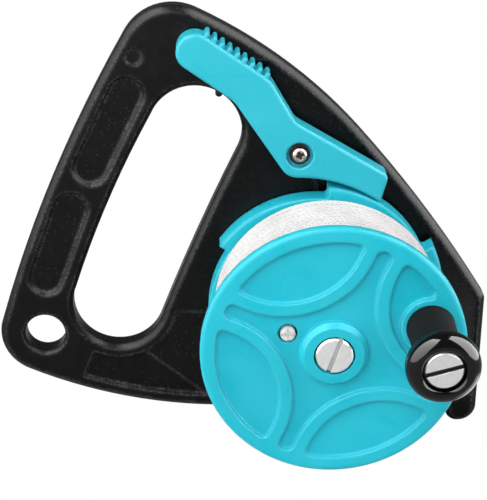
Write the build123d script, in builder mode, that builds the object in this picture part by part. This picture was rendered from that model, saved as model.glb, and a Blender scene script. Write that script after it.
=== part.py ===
from build123d import *
from math import atan2, cos, degrees, hypot, pi, radians, sin, sqrt
import os

# A hand-held dive reel: a flat moulded frame with a finger grip, a spool of line on an axle,
# a winding knob on the spool's face and a thumb lever whose nose stops the spool's ratchet ring.
# Millimetres. The origin is on the spool's axis in the plane of the frame's back face.
# +Z is up, +X to the right, and the front of the reel faces -Y.
# Heights are measured forward from the back face, so a height h lies at y = -h.

# Spool
flange_r = 42.0
flange_t = 4.0
flange_edge_w = 0.9
panel_depth = 1.6
rim_w = 4.7
drum_w = 34.4
barrel_r = 20.0
barrel_t = 2.2
tube_t = 2.4
hub_face_r = 9.4
hub_base_r = 10.8
hub_rise_h = 1.8
spoke_angle = 20.5
lens_out_len = 7.8
lens_r = 25.4
rib_w = 4.0
star_corner_r = 2.4
lens_corner_r = 1.9
spigot_t = 2.0
spigot_h = 3.0

# Ratchet ring on the rear flange
tooth_count = 6
ring_outer_r = 41.0
tooth_step_h = 3.9
tooth_angle = 29.6
tooth_root_r = 1.1
ring_w = 7.8
ring_wall = 4.0
web_t = 2.4

# Line
line_d = 1.7
line_gap = 0.55
line_top_r = 37.3
line_turn_count = 14
line_sides = 3
anchor_r = 3.1
anchor_inset_w = 4.15
anchor_angle = 156.2
knot_r = 2.5
knot_t = 3.4

# Frame
frame_t = 8.6
frame_edge_w = 1.8
grip_edge_w = 1.5
clip_x = -95.4
clip_z = -14.4
clip_r = 6.85
clip_edge_w = 0.8
clip_corner_r = 15.2
top_x = -50.1
top_z = 81.6
top_corner_r = 17.85
nose_x = 55.5
nose_z = -3.1
nose_r = 3.0
base_z = -43.4
foot_z = -50.3
foot_w = 11.4
foot_lean_w = 0.7
foot_r = 6.0
foot_heel_r = 4.4
back_bow_r = 485.0
brow_bow_r = 444.0
shoulder_r = 167.7
shoulder_angle = 64.5
belly_bow_r = 165.0
grip_top_x = -43.2
grip_top_z = 57.6
grip_low_x = -70.0
grip_low_z = -3.6
grip_r = 15.5
grip_outer_bow_h = 1.5
grip_inner_bow_h = 0.7

# Hollows in the frame's face
bay_depth = 2.0
bay_rim_w = 2.2
bay_left_x = -27.0
bay_waist_x = -3.0
bay_waist_z = 40.0
slot_r = 5.3
slot_depth = 1.3
slot_bevel_w = 0.9
upper_slot_x = -71.5
upper_slot_z = 58.0
upper_slot_len = 28.1
upper_slot_angle = 63.8
lower_slot_x = -89.5
lower_slot_z = 18.6
lower_slot_len = 26.9
lower_slot_angle = 69.5
web_depth = 1.5
web_step_h = 0.7
web_rim_w = 4.6
web_grip_rim_w = 4.2
web_left_x = -82.3
web_split_x = -61.5
web_right_x = -34.0
web_top_z = -6.7
web_corner_r = 1.5
dimple_r = 2.7
dimple_depth = 0.4
dimple_x = -62.5
dimple_z = 83.0
nub_r = 1.2
nub_h = 4.0
nub_angle = 59.0

# Axle
axle_r = 3.0
axle_fit_w = 0.05
bush_r = 4.0
bush_fit_w = 0.08
head_r = 5.9
head_h = 3.4
head_edge_w = 0.4
head_proud_h = 0.2
slot_w = 1.5
screw_slot_depth = 1.5
axle_slot_angle = 71.0
counterbore_gap_w = 0.6
nut_w = 10.0
nut_t = 5.0
nut_fit_w = 0.15
nut_sink_h = 0.6
thrust_r = 8.0
thrust_t = 1.0
front_washer_t = 0.6

# Knob
knob_inset_w = 10.86
knob_angle = 16.22
knob_boss_r = 9.3
knob_base_r = 7.7
knob_waist_r = 7.35
knob_head_r = 11.3
knob_len = 30.8
knob_head_len = 7.8
knob_head_round_r = 3.9
knob_back_round_r = 2.9
knob_lip_r = 7.4
knob_recess_r = 6.7
knob_screw_sink_h = 1.0
knob_lip_h = 0.5
knob_screw_r = 2.5
knob_sleeve_r = 3.6
knob_fit_w = 0.08
knob_slot_angle = 15.3
insert_r = 4.2
insert_fit_w = 0.05

# Thumb lever
pivot_out_len = 12.02
pivot_angle = 100.1
lever_t = 7.8
lever_edge_w = 0.7
thumb_arm_len = 47.9
thumb_angle = 134.4
thumb_lean = 145.1
thumb_r = 6.0
nose_len = 29.2
nose_drop_h = 7.2
nose_reach_len = 25.76
nose_hollow_depth = 2.8
nose_round_r = 2.5
nose_corner_r = 0.8
ridge_count = 9
ridge_r = 0.75
ridge_h = 1.8
ridge_set_back_w = 0.6
lever_fit_w = 0.08
sleeve_r = 2.5
lever_screw_r = 1.6
lever_screw_bite_len = 6.0
lever_head_r = 2.6
lever_head_h = 1.7
lever_washer_r = 3.4
lever_washer_t = 0.6
lever_bore_r = 4.4
lever_bore_depth = 2.6
pivot_boss_r = 6.6
lever_collar_r = 3.5
spring_wire_d = 0.8
spring_r = 4.9
spring_turns = 2.5
spring_pitch_len = 1.25
spring_room_w = 0.35
spring_start = 45.0
# Corners of the lever from its pivot, as shares of the thumb arm, with their roundings
lever_shares = ((-0.197, 0.518), (-0.029, 0.231), (-0.077, -0.163), (-0.4405, 0.380))
lever_round_shares = (0.08, 0.10, 0.13, 0.25)
# Ridged stretch of the thumb pad, as a share of the pad
pad_share = 0.923

# Corner of a rounded edge, as a share of its size
bevel_share = 0.29

# Clearances and one overrun for every cut
face_gap = 0.3
seat_gap = 0.05
over_len = 1.0

# Heights along the axis, from the back face forward
ring_back_h = frame_t + thrust_t - face_gap
drum_back_h = ring_back_h + ring_w
drum_front_h = drum_back_h + drum_w
flange_h = drum_front_h + flange_t
hub_h = flange_h + hub_rise_h
bay_h = frame_t - bay_depth
thrust_h = frame_t + thrust_t
rear_hub_h = thrust_h + face_gap
head_seat_h = hub_h + head_proud_h - head_h
front_washer_h = head_seat_h - front_washer_t
hub_seat_h = front_washer_h - face_gap
lever_back_h = ring_back_h
lever_front_h = lever_back_h + lever_t
knob_base_h = flange_h + face_gap
knob_front_h = knob_base_h + knob_len
knob_seat_h = knob_front_h - knob_screw_sink_h - head_h
knob_floor_h = knob_seat_h - face_gap
ring_root_r = ring_outer_r - tooth_step_h
panel_r = flange_r - rim_w
knob_orbit_r = flange_r - knob_inset_w
anchor_orbit_r = barrel_r - anchor_inset_w
pivot_orbit_r = ring_outer_r + pivot_out_len
nose_angle = pivot_angle - degrees(nose_reach_len / ring_outer_r)
tooth_pitch = 360 / tooth_count
hub_bore_r = bush_r + bush_fit_w
hub_tube_r = hub_bore_r + tube_t
drum_mid_h = (drum_back_h + drum_front_h) / 2
pivot_boss_h = lever_back_h - face_gap
lever_floor_h = lever_front_h - lever_bore_depth
lever_washer_h = lever_floor_h + face_gap
line_pitch_len = line_d + line_gap
line_path_r = line_top_r - line_d / 2


def front(h=0.0):
    """Plane parallel to the front at height h, facing forward."""
    return Plane.XZ.offset(h)


def polar(r, a, x=0.0, z=0.0):
    """Point at radius r and angle a from (x, z)."""
    return (x + r * cos(radians(a)), z + r * sin(radians(a)))


def bow(c1, r1, c2, r2, big_r, side):
    """Arc of radius big_r that wraps two corner circles on one side: start, middle, end."""
    d = hypot(c2[0] - c1[0], c2[1] - c1[1])
    a, b = big_r - r1, big_r - r2
    along = (a * a - b * b + d * d) / (2 * d)
    off = sqrt(a * a - along * along) * side
    ux, uz = (c2[0] - c1[0]) / d, (c2[1] - c1[1]) / d
    c = (c1[0] + along * ux - off * uz, c1[1] + along * uz + off * ux)
    ends = []
    for q in (c1, c2):
        k = big_r / hypot(q[0] - c[0], q[1] - c[1])
        ends.append((c[0] + (q[0] - c[0]) * k, c[1] + (q[1] - c[1]) * k))
    a1 = atan2(ends[0][1] - c[1], ends[0][0] - c[0])
    a2 = atan2(ends[1][1] - c[1], ends[1][0] - c[0])
    turn = (a2 - a1 + pi) % (2 * pi) - pi
    mid = (c[0] + big_r * cos(a1 + turn / 2), c[1] + big_r * sin(a1 + turn / 2))
    return ends[0], mid, ends[1]


def between(c, r, p, q):
    """Point of the circle halfway between the directions of p and q."""
    a1, a2 = atan2(p[1] - c[1], p[0] - c[0]), atan2(q[1] - c[1], q[0] - c[0])
    turn = (a2 - a1 + pi) % (2 * pi) - pi
    return (c[0] + r * cos(a1 + turn / 2), c[1] + r * sin(a1 + turn / 2))


def biarc(p0, t0, p1, t1):
    """Joint of the two tangent arcs that run from p0 along t0 to p1 along t1."""
    v, t = p1 - p0, t0 + t1
    k = 2 * (1 - t0.dot(t1))
    d = (sqrt(v.dot(t) ** 2 + k * v.dot(v)) - v.dot(t)) / k
    return (p0 + p1 + (t0 - t1) * d) * 0.5


def turns_path(x, z, h0, r, pitch, turns, a0, way):
    """Points and tangents of a helix about an axis along Y, each half turn, and its joints."""
    out = []
    rise = pitch / (2 * pi * r)
    for i in range(int(round(2 * turns)) + 1):
        a = radians(a0 + way * 180 * i)
        p = Vector(x + r * cos(a), -(h0 + pitch * i / 2), z + r * sin(a))
        t = Vector(-way * sin(a), -rise, way * cos(a)).normalized()
        out.append((p, t))
    return out


def ring_surface(a):
    """Radius of the ratchet ring at angle a: it jumps to the tip, then falls clockwise."""
    return ring_outer_r - tooth_step_h * ((tooth_angle - a) % tooth_pitch) / tooth_pitch


def nearest(sketch, p):
    """Vertex of a sketch nearest to the point p."""
    return min(sketch.vertices(), key=lambda v: hypot(v.X - p[0], v.Y - p[1]))


def coil(x, z, h0, r, pitch, turns, a0, way):
    """Edges of a coil about an axis along Y, two tangent arcs for each half turn."""
    knots = turns_path(x, z, h0, r, pitch, turns, a0, way)
    for (p0, t0), (p1, t1) in zip(knots, knots[1:]):
        joint = biarc(p0, t0, p1, t1)
        first = TangentArc(p0, joint, tangent=t0)
        TangentArc(joint, p1, tangent=first % 1)
    return knots


def least_gap(wire, turns, width):
    """Least clear gap between neighbouring turns of a coiled wire, measured on points."""
    per_turn = 36
    n = int(per_turn * turns)
    pts = [wire @ (i / n) for i in range(n + 1)]
    return min((pts[i] - pts[j]).length for i in range(n + 1)
               for j in range(i + per_turn // 2, min(n + 1, i + 2 * per_turn))) - width


# Places on the front: the knob, the line's anchor hole and the lever's pivot
knob_at = polar(knob_orbit_r, knob_angle)
anchor_at = polar(anchor_orbit_r, anchor_angle)
pivot = polar(pivot_orbit_r, pivot_angle)
pivot_x, pivot_z = pivot
knob_x, knob_z = knob_at

# Frame outline, from the clip corner up the back, round the shoulder, down the brow and along the belly
clip_c = (clip_x, clip_z)
top_c = (top_x, top_z)
nose_c = (nose_x - nose_r, nose_z)
nose_side = (nose_x, nose_z)
back_arc = bow(clip_c, clip_corner_r, top_c, top_corner_r, back_bow_r, -1)
shoulder_c = polar(top_corner_r - shoulder_r, shoulder_angle, *top_c)
shoulder = polar(top_corner_r, shoulder_angle, *top_c)
brow_arc = bow(shoulder_c, shoulder_r, nose_c, nose_r, brow_bow_r, -1)
belly_rise = base_z + belly_bow_r - clip_z
belly_c = (clip_x + sqrt((belly_bow_r - clip_corner_r) ** 2 - belly_rise ** 2), base_z + belly_bow_r)
belly_k = belly_bow_r / (belly_bow_r - clip_corner_r)
belly_p = tuple(c + (q - c) * belly_k for c, q in zip(belly_c, clip_c))
belly_q = (belly_c[0], base_z)
foot_left = nose_x - foot_w
toe_x = nose_x - foot_lean_w
toe_c = (toe_x - foot_r, foot_z + foot_r)
heel_c = (foot_left + foot_heel_r, foot_z + foot_heel_r)

# Finger grip: two round ends joined by sides bowed towards the hand
grip_a = degrees(atan2(grip_top_z - grip_low_z, grip_top_x - grip_low_x))
grip_low, grip_top = (grip_low_x, grip_low_z), (grip_top_x, grip_top_z)
g1 = polar(grip_r, grip_a + 90, *grip_low)
g2 = polar(grip_r, grip_a + 90, *grip_top)
g3 = polar(grip_r, grip_a - 90, *grip_top)
g4 = polar(grip_r, grip_a - 90, *grip_low)
g12 = polar(grip_outer_bow_h, grip_a + 90, (g1[0] + g2[0]) / 2, (g1[1] + g2[1]) / 2)
g34 = polar(grip_inner_bow_h, grip_a + 90, (g3[0] + g4[0]) / 2, (g3[1] + g4[1]) / 2)

with BuildPart() as frame:
    with BuildSketch(front()) as outline:
        with BuildLine():
            ThreePointArc(*back_arc)
            ThreePointArc(back_arc[2], between(top_c, top_corner_r, back_arc[2], shoulder), shoulder)
            ThreePointArc(shoulder, between(shoulder_c, shoulder_r, shoulder, brow_arc[0]), brow_arc[0])
            ThreePointArc(*brow_arc)
            ThreePointArc(brow_arc[2], between(nose_c, nose_r, brow_arc[2], nose_side), nose_side)
            Line(nose_side, (toe_x, toe_c[1]))
            ThreePointArc((toe_x, toe_c[1]), polar(foot_r, -45, *toe_c), (toe_c[0], foot_z))
            Line((toe_c[0], foot_z), (heel_c[0], foot_z))
            ThreePointArc((heel_c[0], foot_z), polar(foot_heel_r, -135, *heel_c), (foot_left, heel_c[1]))
            Line((foot_left, heel_c[1]), (foot_left, base_z - foot_heel_r / 2))
            Line((foot_left, base_z - foot_heel_r / 2), (foot_left - foot_heel_r / 2, base_z))
            Line((foot_left - foot_heel_r / 2, base_z), belly_q)
            ThreePointArc(belly_q, between(belly_c, belly_bow_r, belly_q, belly_p), belly_p)
            ThreePointArc(belly_p, between(clip_c, clip_corner_r, belly_p, back_arc[0]), back_arc[0])
        make_face()
    extrude(amount=frame_t)
    chamfer(frame.edges().filter_by(Plane.XZ), length=frame_edge_w)
    with BuildSketch(front()):
        with BuildLine():
            ThreePointArc(g1, g12, g2)
            ThreePointArc(g2, polar(grip_r, grip_a, *grip_top), g3)
            ThreePointArc(g3, g34, g4)
            ThreePointArc(g4, polar(grip_r, grip_a + 180, *grip_low), g1)
        make_face()
    extrude(amount=frame_t, mode=Mode.SUBTRACT)
    chamfer(frame.edges(Select.LAST).filter_by(Plane.XZ), length=grip_edge_w)
    # Hole for a clip in the lower corner
    with BuildSketch(front()):
        with Locations(clip_c):
            Circle(clip_r)
    extrude(amount=frame_t, mode=Mode.SUBTRACT)
    chamfer(frame.edges(Select.LAST).filter_by(GeomType.CIRCLE), length=clip_edge_w)
    # Two long hollows with bevelled rims in the grip, on both faces
    for face_h, into in ((frame_t, -1), (0, 1)):
        for x, z, length, angle in ((upper_slot_x, upper_slot_z, upper_slot_len, upper_slot_angle),
                                    (lower_slot_x, lower_slot_z, lower_slot_len, lower_slot_angle)):
            with BuildSketch(front(face_h)):
                with Locations((x, z)):
                    SlotCenterToCenter(length, 2 * slot_r, rotation=angle)
            extrude(amount=into * slot_depth, mode=Mode.SUBTRACT)
            rims = frame.edges(Select.LAST).filter_by(Plane.XZ)
            chamfer([e for e in rims if abs(e.center().Y + face_h) < slot_depth / 2], length=slot_bevel_w)
    # Lever bay behind the spool, inside a narrow rim along the brow and the nose
    with BuildSketch(front(frame_t)):
        add(outline.sketch_local)
        offset(amount=-bay_rim_w)
        with BuildLine():
            Polyline((bay_left_x, top_z), (bay_waist_x, bay_waist_z), (bay_waist_x, base_z + web_rim_w),
                     (nose_x, base_z + web_rim_w), (nose_x, top_z), (bay_left_x, top_z), close=True)
        make_face(mode=Mode.INTERSECT)
        Circle(thrust_r + frame_edge_w, mode=Mode.SUBTRACT)
        with Locations(pivot):
            Circle(pivot_boss_r, mode=Mode.SUBTRACT)
    extrude(amount=-bay_depth, mode=Mode.SUBTRACT)
    with BuildSketch(front(bay_h)):
        with Locations(pivot):
            Circle(pivot_boss_r)
    extrude(amount=pivot_boss_h - bay_h)
    # Web hollows between the grip, the belly and the spool, one a step deeper than the other
    split_z = grip_low_z - sqrt((grip_r + web_grip_rim_w) ** 2 - (web_split_x - grip_low_x) ** 2)
    floor_x = web_right_x - (web_rim_w + web_corner_r)
    for depth, points in (
            (web_depth, ((web_left_x, base_z + 3 * web_rim_w), (web_left_x + web_rim_w, grip_low_z - grip_r),
                         (web_split_x, split_z), (floor_x, base_z + web_rim_w), (floor_x, foot_z),
                         (web_left_x, foot_z))),
            (web_depth - web_step_h, ((web_split_x, split_z), (web_split_x, web_top_z),
                                      (web_right_x, web_top_z),
                                      (web_right_x, base_z + web_rim_w),
                                      (floor_x, base_z + web_rim_w)))):
        with BuildSketch(front(frame_t)):
            add(outline.sketch_local)
            offset(amount=-web_rim_w)
            with BuildLine():
                Polyline(*points, close=True)
            make_face(mode=Mode.INTERSECT)
            with Locations(grip_low):
                Circle(grip_r + web_grip_rim_w, mode=Mode.SUBTRACT)
        extrude(amount=-depth, mode=Mode.SUBTRACT)
    # Ejector mark above the grip
    with BuildSketch(front(frame_t)):
        with Locations((dimple_x, dimple_z)):
            Circle(dimple_r)
    extrude(amount=-dimple_depth, mode=Mode.SUBTRACT)
    # Nub on the edge of the grip, under the thumb arm
    with BuildSketch(front(frame_t - nub_h)):
        with Locations(polar(grip_r, nub_angle, *grip_top)):
            Circle(nub_r)
    extrude(amount=nub_h)
    # Bore and nut pocket for the axle, and a blind hole for the lever's screw
    with BuildSketch(front()):
        Circle(axle_r + axle_fit_w)
    extrude(amount=frame_t, mode=Mode.SUBTRACT)
    with BuildSketch(front()):
        RegularPolygon(nut_w / 2 + nut_fit_w, 6, major_radius=False)
    extrude(amount=nut_t + nut_sink_h, mode=Mode.SUBTRACT)
    with BuildSketch(front(pivot_boss_h)):
        with Locations(pivot):
            Circle(lever_screw_r + axle_fit_w)
    extrude(amount=-(lever_screw_bite_len + face_gap), mode=Mode.SUBTRACT)
frame.part.label = "frame"

# Front half of the spool: a flange with a pattern of ribs, hub, and a spigot inside the drum
spigot_r = barrel_r - barrel_t - seat_gap
bevel = flange_edge_w * bevel_share
with BuildPart() as spool_front:
    with BuildSketch(Plane.XY):
        with BuildLine():
            Polyline((hub_bore_r, -drum_mid_h), (hub_tube_r, -drum_mid_h), (hub_tube_r, -drum_front_h),
                     (spigot_r - spigot_t, -drum_front_h), (spigot_r - spigot_t, -drum_front_h + spigot_h),
                     (spigot_r, -drum_front_h + spigot_h), (spigot_r, -drum_front_h),
                     (flange_r - flange_edge_w, -drum_front_h), (flange_r, -(drum_front_h + flange_edge_w)),
                     (flange_r, -(flange_h - flange_edge_w)), (flange_r - bevel, -(flange_h - bevel)),
                     (flange_r - flange_edge_w, -flange_h), (hub_base_r, -flange_h),
                     (hub_face_r, -hub_h), (head_r + counterbore_gap_w, -hub_h),
                     (head_r + counterbore_gap_w, -hub_seat_h), (hub_bore_r, -hub_seat_h), close=True)
        make_face()
    revolve(axis=Axis.Y)
    star_r = lens_r + rib_w
    lens_at = [polar(panel_r + lens_out_len, spoke_angle + 90 * i) for i in range(4)]
    # Star-shaped hollow between the ribs
    with BuildSketch(front(flange_h)) as star:
        Circle(panel_r)
        with Locations(*lens_at):
            Circle(star_r, mode=Mode.SUBTRACT)
        fillet(star.vertices(), radius=star_corner_r)
        Circle(hub_base_r, mode=Mode.SUBTRACT)
    extrude(amount=-panel_depth, mode=Mode.SUBTRACT)
    # Four lens-shaped hollows, the first one notched by the knob's boss
    for i, at in enumerate(lens_at):
        with BuildSketch(front(flange_h)) as lens:
            Circle(panel_r)
            with Locations(at):
                Circle(lens_r, mode=Mode.INTERSECT)
            if i == 0:
                with Locations(knob_at):
                    Circle(knob_boss_r, mode=Mode.SUBTRACT)
            fillet(lens.vertices(), radius=lens_corner_r)
        extrude(amount=-panel_depth, mode=Mode.SUBTRACT)
    # Bore for the knob's insert and the hole where the line is anchored
    with BuildSketch(front(drum_front_h)):
        with Locations(knob_at):
            Circle(insert_r + insert_fit_w)
    extrude(amount=flange_t, mode=Mode.SUBTRACT)
    with BuildSketch(front(drum_front_h - spigot_h)):
        with Locations(anchor_at):
            Circle(anchor_r)
    extrude(amount=flange_t + spigot_h, mode=Mode.SUBTRACT)
spool_front.part.label = "spool_front"

# Rear half of the spool: web, drum barrel and hub, inside the ring of ratchet teeth
core_r = ring_root_r - ring_wall
with BuildPart() as spool_rear:
    with BuildSketch(front(ring_back_h)) as teeth:
        with BuildLine():
            for i in range(tooth_count):
                a = tooth_angle + tooth_pitch * i
                ThreePointArc(polar(ring_outer_r, a),
                              polar(ring_outer_r - tooth_step_h / 2, a - tooth_pitch / 2),
                              polar(ring_root_r, a - tooth_pitch))
                Line(polar(ring_root_r, a - tooth_pitch), polar(ring_outer_r, a - tooth_pitch))
        make_face()
        roots = [v for v in teeth.vertices() if hypot(v.X, v.Y) < ring_outer_r - tooth_step_h / 2]
        fillet(roots, radius=tooth_root_r)
    extrude(amount=ring_w)
    with BuildSketch(front(ring_back_h)):
        Circle(core_r)
    extrude(amount=ring_w, mode=Mode.SUBTRACT)
    with BuildSketch(Plane.XY):
        with BuildLine():
            Polyline((hub_bore_r, -rear_hub_h), (hub_tube_r, -rear_hub_h),
                     (hub_tube_r, -(drum_back_h - web_t)),
                     (core_r + seat_gap, -(drum_back_h - web_t)), (core_r + seat_gap, -drum_back_h),
                     (barrel_r, -drum_back_h), (barrel_r, -drum_front_h),
                     (barrel_r - barrel_t, -drum_front_h), (barrel_r - barrel_t, -drum_back_h),
                     (hub_tube_r, -drum_back_h), (hub_tube_r, -(drum_mid_h - face_gap)),
                     (hub_bore_r, -(drum_mid_h - face_gap)), close=True)
        make_face()
    revolve(axis=Axis.Y)
spool_rear.part.label = "spool_rear"

# Bulk of the line on the drum, under its outer layer
with BuildPart() as line_core:
    with BuildSketch(front(drum_back_h + seat_gap)):
        Circle(line_top_r - line_d - seat_gap)
        Circle(barrel_r + seat_gap, mode=Mode.SUBTRACT)
    extrude(amount=drum_w - 2 * seat_gap)
line_core.part.label = "line_core"

# Outer layer of line: one tube of touching-close turns, wound from the ring to the front flange
line_start_h = drum_back_h + (drum_w - line_turn_count * line_pitch_len) / 2
with BuildPart() as line_turns:
    with BuildLine() as line_path:
        knots = coil(0, 0, line_start_h, line_path_r, line_pitch_len, line_turn_count, 0, -1)
    with BuildSketch(Plane(knots[0][0], x_dir=(1, 0, 0), z_dir=knots[0][1])):
        RegularPolygon(line_d / 2, line_sides)
    sweep()
line_turns.part.label = "line_turns"
line_wire = line_path.wires()[0]
print("outer layer of line:", round(line_wire.length), "mm long, least gap",
      round(least_gap(line_wire, line_turn_count, line_d), 3), "mm")

# Knot of the line's inner end in its hole
knot_h = drum_front_h + face_gap
with BuildPart() as line_knot:
    with BuildSketch(front(knot_h)):
        with Locations(anchor_at):
            Circle(knot_r)
    extrude(amount=knot_t)
    chamfer(line_knot.edges().filter_by(GeomType.CIRCLE), length=knot_r / 3)
line_knot.part.label = "line_knot"


def slotted(name, at, r, seat_h, tip_h, angle):
    """Cheese-head screw with one slot, from its tip to the head above seat_h."""
    with BuildPart() as screw:
        with BuildSketch(front(seat_h)):
            with Locations(at):
                Circle(head_r)
        extrude(amount=head_h)
        chamfer(screw.faces().sort_by(Axis.Y)[0].edges(), length=head_edge_w)
        with BuildSketch(front(seat_h + head_h)):
            with Locations(at):
                Rectangle(2 * head_r + over_len, slot_w, rotation=angle)
        extrude(amount=-screw_slot_depth, mode=Mode.SUBTRACT)
        with BuildSketch(front(tip_h)):
            with Locations(at):
                Circle(r)
        extrude(amount=seat_h - tip_h)
    screw.part.label = name
    return screw


def tube(name, at, outer, inner, h0, h1):
    """Plain sleeve or washer between two heights."""
    with BuildPart() as sleeve:
        with BuildSketch(front(h0)):
            with Locations(at):
                Circle(outer)
                Circle(inner, mode=Mode.SUBTRACT)
        extrude(amount=h1 - h0)
    sleeve.part.label = name
    return sleeve


# Axle: a screw from the front clamps a bush onto the frame, with a nut sunk in the frame's back
axle_at = (0, 0)
axle_screw = slotted("axle_screw", axle_at, axle_r, head_seat_h, nut_sink_h + face_gap, axle_slot_angle)
axle_bush = tube("axle_bush", axle_at, bush_r, axle_r + axle_fit_w, frame_t, head_seat_h)
thrust_washer = tube("thrust_washer", axle_at, thrust_r, bush_r + seat_gap, frame_t, thrust_h)
front_washer = tube("front_washer", axle_at, head_r, bush_r + seat_gap, front_washer_h, head_seat_h)
with BuildPart() as axle_nut:
    with BuildSketch(front(nut_sink_h)):
        RegularPolygon(nut_w / 2, 6, major_radius=False)
        Circle(axle_r + axle_fit_w, mode=Mode.SUBTRACT)
    extrude(amount=nut_t)
axle_nut.part.label = "axle_nut"

# Knob: waisted shank and round head, turning on a sleeve that its screw holds to the flange
knob_plane = Plane(origin=(knob_x, 0, knob_z), x_dir=(1, 0, 0), z_dir=(0, 0, 1))
knob_axis = Axis((knob_x, 0, knob_z), (0, 1, 0))
head_back_h = knob_front_h - knob_head_len
waist_h = (knob_base_h + head_back_h) / 2
neck_r = knob_head_r - knob_back_round_r
front_round = min(knob_head_round_r, knob_head_r - knob_lip_r - seat_gap)
flats = 3
shank = [(knob_waist_r + (knob_base_r - knob_waist_r) * (1 - k / flats) ** 2,
          -(knob_base_h + (waist_h - knob_base_h) * k / flats)) for k in range(flats)]
neck = [(knob_waist_r + (neck_r - knob_waist_r) * (k / flats) ** 2,
         -(waist_h + (head_back_h - waist_h) * k / flats)) for k in range(flats + 1)]
back_turn = [polar(knob_back_round_r, 90 - 90 * k / flats, knob_head_r - knob_back_round_r,
                   -(head_back_h + knob_back_round_r)) for k in range(1, flats + 1)]
front_turn = [polar(front_round, -90 * k / flats, knob_head_r - front_round,
                    -(knob_front_h - front_round)) for k in range(flats + 1)]
with BuildPart() as knob:
    with BuildSketch(knob_plane):
        with BuildLine():
            Polyline((knob_sleeve_r + knob_fit_w, -knob_base_h), *shank, *neck, *back_turn, *front_turn,
                     (knob_lip_r, -knob_front_h), (knob_recess_r, -(knob_front_h - knob_lip_h)),
                     (knob_recess_r, -knob_floor_h), (knob_sleeve_r + knob_fit_w, -knob_floor_h), close=True)
        make_face()
    revolve(axis=knob_axis)
knob.part.label = "knob"
knob_screw = slotted("knob_screw", knob_at, knob_screw_r, knob_seat_h, drum_front_h + face_gap,
                     knob_slot_angle)
knob_sleeve = tube("knob_sleeve", knob_at, knob_sleeve_r, knob_screw_r + axle_fit_w, flange_h, knob_seat_h)
knob_insert = tube("knob_insert", knob_at, insert_r, knob_screw_r + axle_fit_w,
                   drum_front_h + seat_gap, flange_h)

# Thumb lever: an arm with ridges for the thumb, an eye on the pivot and a nose over the ring
thumb_c = polar(thumb_arm_len, thumb_angle, *pivot)
thumb_up = polar(thumb_r, thumb_lean - 90, *thumb_c)
thumb_low = polar(thumb_r, thumb_lean + 90, *thumb_c)
brow_in, brow_out, belly_in, belly_out = [(pivot_x + thumb_arm_len * u, pivot_z + thumb_arm_len * v)
                                          for u, v in lever_shares]
nose_end = (pivot_x + nose_len, pivot_z - nose_drop_h)
nose_tip = polar(ring_surface(nose_angle) + face_gap, nose_angle)
span = hypot(belly_in[0] - nose_tip[0], belly_in[1] - nose_tip[1])
nose_mid = ((nose_tip[0] + belly_in[0]) / 2 + nose_hollow_depth * (belly_in[1] - nose_tip[1]) / span,
            (nose_tip[1] + belly_in[1]) / 2 - nose_hollow_depth * (belly_in[0] - nose_tip[0]) / span)
pocket_r = spring_r + spring_wire_d / 2 + spring_room_w
pocket_h = spring_turns * spring_pitch_len + spring_wire_d + spring_room_w
spring_h = lever_back_h + (spring_wire_d + spring_room_w) / 2
with BuildPart() as thumb_lever:
    with BuildSketch(front(lever_back_h)) as lever_face:
        with BuildLine():
            ThreePointArc(thumb_low, polar(thumb_r, thumb_lean, *thumb_c), thumb_up)
            Polyline(thumb_up, brow_in, brow_out, nose_end, nose_tip)
            ThreePointArc(nose_tip, nose_mid, belly_in)
            Polyline(belly_in, belly_out, thumb_low)
        make_face()
        for p, share in zip((brow_in, brow_out, belly_in, belly_out), lever_round_shares):
            fillet(nearest(lever_face, p), radius=share * thumb_arm_len)
        fillet(nearest(lever_face, nose_end), radius=nose_round_r)
        fillet(nearest(lever_face, nose_tip), radius=nose_corner_r)
    extrude(amount=lever_t)
    chamfer(thumb_lever.faces().sort_by(Axis.Y)[0].edges(), length=lever_edge_w)
    # Ridges across the thumb pad
    pad_run = (brow_in[0] - thumb_up[0], brow_in[1] - thumb_up[1])
    pad_out = degrees(atan2(pad_run[1], pad_run[0])) + 90
    pad_steps = [pad_share * i / (ridge_count - 1) for i in range(ridge_count)]
    with BuildSketch(front(lever_back_h)):
        for t in pad_steps:
            x, z = thumb_up[0] + pad_run[0] * t, thumb_up[1] + pad_run[1] * t
            with Locations(polar(ridge_h - ridge_r, pad_out, x, z)):
                Circle(ridge_r)
            with Locations(polar((ridge_h - ridge_r) / 2 - ridge_r / 2, pad_out, x, z)):
                Rectangle(ridge_h, 2 * ridge_r, rotation=pad_out)
    extrude(amount=lever_t - ridge_set_back_w)
    # Eye: bore for the sleeve, a counterbore for the screw and a pocket for the spring
    with BuildSketch(front(lever_back_h)):
        with Locations(pivot):
            Circle(sleeve_r + lever_fit_w)
    extrude(amount=lever_t, mode=Mode.SUBTRACT)
    with BuildSketch(front(lever_floor_h)):
        with Locations(pivot):
            Circle(lever_bore_r)
    extrude(amount=lever_bore_depth, mode=Mode.SUBTRACT)
    with BuildSketch(front(lever_back_h)):
        with Locations(pivot):
            Circle(pocket_r)
            Circle(lever_collar_r, mode=Mode.SUBTRACT)
    extrude(amount=pocket_h, mode=Mode.SUBTRACT)
thumb_lever.part.label = "thumb_lever"

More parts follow.
